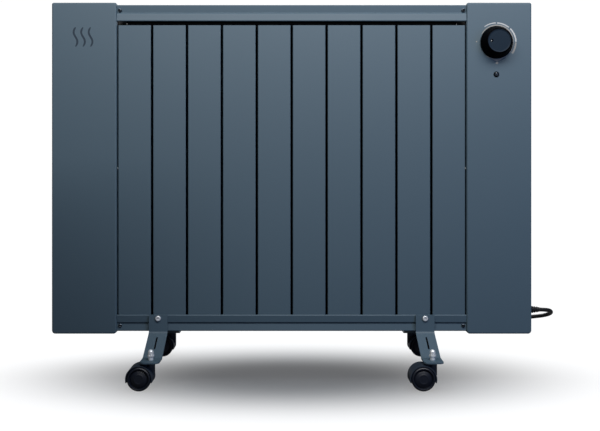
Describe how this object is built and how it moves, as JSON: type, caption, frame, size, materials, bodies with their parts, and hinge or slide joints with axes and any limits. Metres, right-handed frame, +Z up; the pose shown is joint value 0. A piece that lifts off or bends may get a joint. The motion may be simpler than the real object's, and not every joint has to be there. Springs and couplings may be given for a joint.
{
  "type": "oil filled radiator heater",
  "caption": "Electric oil filled column radiator with flat front strips, two sheet metal end covers, a side thermostat knob and twin wheel casters on bent legs.",
  "frame": {"origin": "on the floor, under the middle of the heater", "axes": "+X along the row of fins towards the control cover, -Y is the front, +Z is up"},
  "size_m": [0.8882, 0.2698, 0.6465],
  "materials": {
    "fin_paint": "satin powder coat",
    "cover_paint": "satin powder coat",
    "rail_paint": "satin powder coat",
    "leg_paint": "satin powder coat",
    "inner_steel": "bare steel",
    "zinc_steel": "bright zinc plate",
    "dark_screw": "black zinc",
    "caster_nylon": "moulded",
    "wheel_nylon": "moulded",
    "element_steel": "annealed",
    "moulded_insulator": "moulded",
    "lamp_lens": "smoked clear moulding",
    "knob_plastic": "moulded, fine satin",
    "cord_pvc": "extruded satin",
    "plug_pvc": "moulded satin",
    "tie_plastic": "woven strap",
    "nickel_brass": "nickel plated",
    "lead_insulation": "silicone sleeve"
  },
  "bodies": {
    "heater": {"bottom_rail_front": "rail_paint", "bottom_rail_rear": "rail_paint", "caster_nuts": "zinc_steel", "caster_stems": "zinc_steel", "cord_coil": "cord_pvc", "cord_gland": "plug_pvc", "cord_hook": "zinc_steel", "cord_tie": "tie_plastic", "element_flange": "inner_steel", "fin_01": "fin_paint", "fin_02": "fin_paint", "fin_03": "fin_paint", "fin_04": "fin_paint", "fin_05": "fin_paint", "fin_06": "fin_paint", "fin_07": "fin_paint", "fin_08": "fin_paint", "fin_09": "fin_paint", "fin_10": "fin_paint", "header_caps": "inner_steel", "heating_elements": "element_steel", "internal_wiring": "lead_insulation", "left_cover": "cover_paint", "left_inner_plate": "inner_steel", "leg_front_left": "leg_paint", "leg_front_right": "leg_paint", "leg_rear_left": "leg_paint", "leg_rear_right": "leg_paint", "leg_screws": "zinc_steel", "pilot_lamp": "lamp_lens", "plate_rivets": "zinc_steel", "plug": "plug_pvc", "plug_pins": "nickel_brass", "power_cord": "cord_pvc", "rail_screws": "dark_screw", "right_cover": "cover_paint", "right_inner_plate": "inner_steel", "terminal_block": "moulded_insulator", "thermal_cutout": "moulded_insulator", "thermostat_body": "moulded_insulator", "top_rail_front": "rail_paint", "top_rail_rear": "rail_paint"},
    "caster_front_left": {"caster_front_left_hood": "caster_nylon", "caster_front_left_axle": "zinc_steel"},
    "caster_front_left_wheel_front": {"caster_front_left_wheel_front": "wheel_nylon"},
    "caster_front_left_wheel_rear": {"caster_front_left_wheel_rear": "wheel_nylon"},
    "caster_front_right": {"caster_front_right_hood": "caster_nylon", "caster_front_right_axle": "zinc_steel"},
    "caster_front_right_wheel_front": {"caster_front_right_wheel_front": "wheel_nylon"},
    "caster_front_right_wheel_rear": {"caster_front_right_wheel_rear": "wheel_nylon"},
    "caster_rear_left": {"caster_rear_left_hood": "caster_nylon", "caster_rear_left_axle": "zinc_steel"},
    "caster_rear_left_wheel_front": {"caster_rear_left_wheel_front": "wheel_nylon"},
    "caster_rear_left_wheel_rear": {"caster_rear_left_wheel_rear": "wheel_nylon"},
    "caster_rear_right": {"caster_rear_right_hood": "caster_nylon", "caster_rear_right_axle": "zinc_steel"},
    "caster_rear_right_wheel_front": {"caster_rear_right_wheel_front": "wheel_nylon"},
    "caster_rear_right_wheel_rear": {"caster_rear_right_wheel_rear": "wheel_nylon"},
    "knob": {"knob": "knob_plastic", "thermostat_shaft": "zinc_steel"}
  },
  "joints": [
    {"name": "thermostat_turn", "type": "hinge", "parent": "heater", "child": "knob", "pos_m": [0.353, -0.05, 0.5775], "axis": [0, 1, 0], "range_deg": [0, 270]},
    {"name": "caster_front_left_swivel", "type": "hinge", "parent": "heater", "child": "caster_front_left", "pos_m": [-0.23, -0.1169, 0.03], "axis": [0, 0, 1], "continuous": true},
    {"name": "caster_front_left_wheel_front_spin", "type": "hinge", "parent": "caster_front_left", "child": "caster_front_left_wheel_front", "pos_m": [-0.247, -0.1169, 0.0196], "axis": [0, 1, 0], "continuous": true},
    {"name": "caster_front_left_wheel_rear_spin", "type": "hinge", "parent": "caster_front_left", "child": "caster_front_left_wheel_rear", "pos_m": [-0.247, -0.1169, 0.0196], "axis": [0, 1, 0], "continuous": true},
    {"name": "caster_front_right_swivel", "type": "hinge", "parent": "heater", "child": "caster_front_right", "pos_m": [0.23, -0.1169, 0.03], "axis": [0, 0, 1], "continuous": true},
    {"name": "caster_front_right_wheel_front_spin", "type": "hinge", "parent": "caster_front_right", "child": "caster_front_right_wheel_front", "pos_m": [0.213, -0.1169, 0.0196], "axis": [0, 1, 0], "continuous": true},
    {"name": "caster_front_right_wheel_rear_spin", "type": "hinge", "parent": "caster_front_right", "child": "caster_front_right_wheel_rear", "pos_m": [0.213, -0.1169, 0.0196], "axis": [0, 1, 0], "continuous": true},
    {"name": "caster_rear_left_swivel", "type": "hinge", "parent": "heater", "child": "caster_rear_left", "pos_m": [-0.23, 0.1169, 0.03], "axis": [0, 0, 1], "continuous": true},
    {"name": "caster_rear_left_wheel_front_spin", "type": "hinge", "parent": "caster_rear_left", "child": "caster_rear_left_wheel_front", "pos_m": [-0.247, 0.1169, 0.0196], "axis": [0, 1, 0], "continuous": true},
    {"name": "caster_rear_left_wheel_rear_spin", "type": "hinge", "parent": "caster_rear_left", "child": "caster_rear_left_wheel_rear", "pos_m": [-0.247, 0.1169, 0.0196], "axis": [0, 1, 0], "continuous": true},
    {"name": "caster_rear_right_swivel", "type": "hinge", "parent": "heater", "child": "caster_rear_right", "pos_m": [0.23, 0.1169, 0.03], "axis": [0, 0, 1], "continuous": true},
    {"name": "caster_rear_right_wheel_front_spin", "type": "hinge", "parent": "caster_rear_right", "child": "caster_rear_right_wheel_front", "pos_m": [0.247, 0.1169, 0.0196], "axis": [0, 1, 0], "continuous": true},
    {"name": "caster_rear_right_wheel_rear_spin", "type": "hinge", "parent": "caster_rear_right", "child": "caster_rear_right_wheel_rear", "pos_m": [0.247, 0.1169, 0.0196], "axis": [0, 1, 0], "continuous": true}
  ]
}
